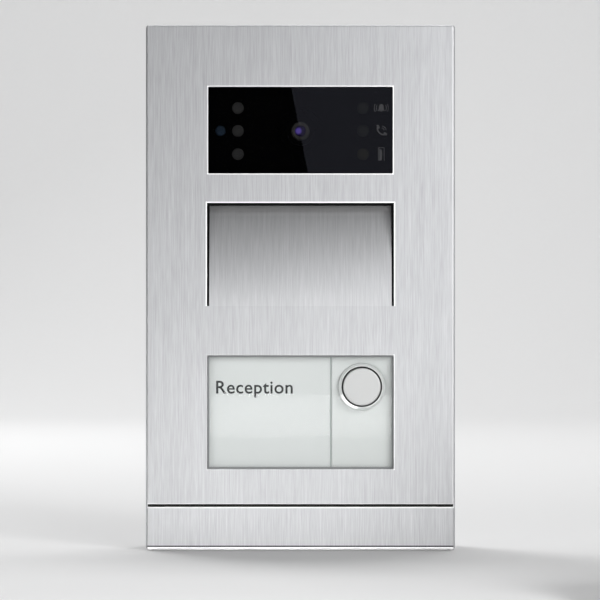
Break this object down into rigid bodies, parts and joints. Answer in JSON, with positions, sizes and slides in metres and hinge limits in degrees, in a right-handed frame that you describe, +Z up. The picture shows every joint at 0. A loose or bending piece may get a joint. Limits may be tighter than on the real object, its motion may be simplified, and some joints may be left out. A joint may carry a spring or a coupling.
{
  "type": "door intercom panel",
  "caption": "Wall-mounted video door intercom panel: brushed steel plate with a dark camera window, a bent speaker baffle, a clear name plate and a round call button.",
  "frame": {"origin": "middle of the flat back that rests on the wall", "axes": "+X right, +Z up, the front faces -Y and the back faces +Y"},
  "size_m": [0.135, 0.0302, 0.2294],
  "materials": {
    "housing_metal": "satin anodised aluminium",
    "black_rubber": "soft black rubber",
    "carrier_plastic": "fine-textured dark grey moulding",
    "zinc_screws": "zinc plated",
    "module_plastic": "fine-textured black moulding",
    "circuit_board": "green solder resist",
    "gimbal_plastic": "black acetal",
    "barrel_metal": "dark anodised",
    "lens_glass": "violet coated glass",
    "led_epoxy": "smoked epoxy",
    "sensor_epoxy": "blue-black epoxy",
    "mask_plastic": "matt black",
    "guide_acrylic": "milky acrylic",
    "dark_acrylic": "polished dark tinted acrylic",
    "zinc_steel": "zinc plated sheet",
    "magnet_iron": "nickel plated",
    "cone_film": "black film",
    "grille_steel": "black painted",
    "clear_acrylic": "clear polished acrylic",
    "label_paper": "printed white label film",
    "diffuser_acrylic": "milky green-white acrylic",
    "led_chip": "white ceramic with yellow phosphor",
    "collar_chrome": "polished",
    "button_steel": "satin stainless steel",
    "spring_steel": "drawn wire",
    "switch_plastic": "black moulding",
    "ribbon_grey": "grey PVC",
    "plug_plastic": "black moulding",
    "terminal_green": "green moulding",
    "dial_blue": "blue moulding",
    "dial_white": "white moulding",
    "brushed_plate": "vertically brushed stainless steel",
    "brushed_strip": "vertically brushed stainless steel"
  },
  "bodies": {
    "housing": {"back_plate": "housing_metal", "housing_frame": "housing_metal", "wall_gasket": "black_rubber", "cable_grommet": "black_rubber", "module_carrier": "carrier_plastic", "carrier_screws": "zinc_screws", "camera_housing": "module_plastic", "camera_board": "circuit_board", "camera_bracket": "module_plastic", "infrared_leds": "led_epoxy", "light_sensor": "sensor_epoxy", "camera_mask": "mask_plastic", "icon_light_guides": "guide_acrylic", "camera_window": "dark_acrylic", "audio_housing": "module_plastic", "speaker_basket": "zinc_steel", "speaker_magnet": "magnet_iron", "speaker_cone": "cone_film", "speaker_surround": "black_rubber", "speaker_grille": "grille_steel", "audio_board": "circuit_board", "microphone_capsule": "zinc_steel", "microphone_boot": "black_rubber", "button_housing": "module_plastic", "name_window": "clear_acrylic", "button_window": "clear_acrylic", "name_label": "label_paper", "light_guide": "guide_acrylic", "button_diffuser": "diffuser_acrylic", "button_board": "circuit_board", "backlight_leds": "led_chip", "button_collar": "collar_chrome", "button_seal": "black_rubber", "button_spring": "spring_steel", "tactile_switch": "switch_plastic", "ribbon_cables": "ribbon_grey", "ribbon_plugs": "plug_plastic", "terminal_board": "circuit_board", "terminal_block": "terminal_green", "terminal_screws": "zinc_screws", "dial_bases": "dial_blue", "tamper_sensor": "switch_plastic"},
    "cover": {"front_plate": "brushed_plate", "window_seals": "black_rubber", "cover_seal": "black_rubber", "hinge_claws": "zinc_steel", "lock_bracket": "zinc_steel", "lock_screws": "zinc_screws", "tamper_magnet": "magnet_iron"},
    "closing_strip": {"end_strip": "brushed_strip"},
    "call_button": {"button_cap": "button_steel", "button_stem": "module_plastic", "switch_plunger": "switch_plastic"},
    "camera_pan": {"pan_ring": "gimbal_plastic"},
    "camera_tilt": {"camera_barrel": "barrel_metal", "front_lens": "lens_glass", "image_sensor_board": "circuit_board"},
    "tens_dial": {"address_dial_tens": "dial_white"},
    "units_dial": {"address_dial_units": "dial_white"},
    "volume_trimmer": {"volume_dial": "dial_white"}
  },
  "joints": [
    {"name": "cover_hinge", "type": "hinge", "parent": "housing", "child": "cover", "pos_m": [0, -0.027, 0.11405], "axis": [-1, 0, 0], "range_deg": [0, 45]},
    {"name": "strip_slide", "type": "slide", "parent": "cover", "child": "closing_strip", "axis": [0, 0, -1], "range_m": [0, 0.019]},
    {"name": "button_press", "type": "slide", "parent": "housing", "child": "call_button", "axis": [0, 1, 0], "range_m": [0, 0.001], "stiffness_N_per_m": 1500, "springref_m": -0.0005, "deforming": ["button_spring"]},
    {"name": "camera_pan_hinge", "type": "hinge", "parent": "housing", "child": "camera_pan", "pos_m": [0, -0.016, 0.06865], "axis": [0, 0, 1], "range_deg": [-15, 15]},
    {"name": "camera_tilt_hinge", "type": "hinge", "parent": "camera_pan", "child": "camera_tilt", "pos_m": [0, -0.016, 0.06865], "axis": [1, 0, 0], "range_deg": [-15, 15]},
    {"name": "tens_dial_turn", "type": "hinge", "parent": "housing", "child": "tens_dial", "pos_m": [0.032, -0.0115, -0.0925], "axis": [0, -1, 0], "continuous": true},
    {"name": "units_dial_turn", "type": "hinge", "parent": "housing", "child": "units_dial", "pos_m": [0.032, -0.0115, -0.1038], "axis": [0, -1, 0], "continuous": true},
    {"name": "volume_turn", "type": "hinge", "parent": "housing", "child": "volume_trimmer", "pos_m": [0.0416, -0.0115, -0.0925], "axis": [0, -1, 0], "range_deg": [-135, 135]}
  ]
}
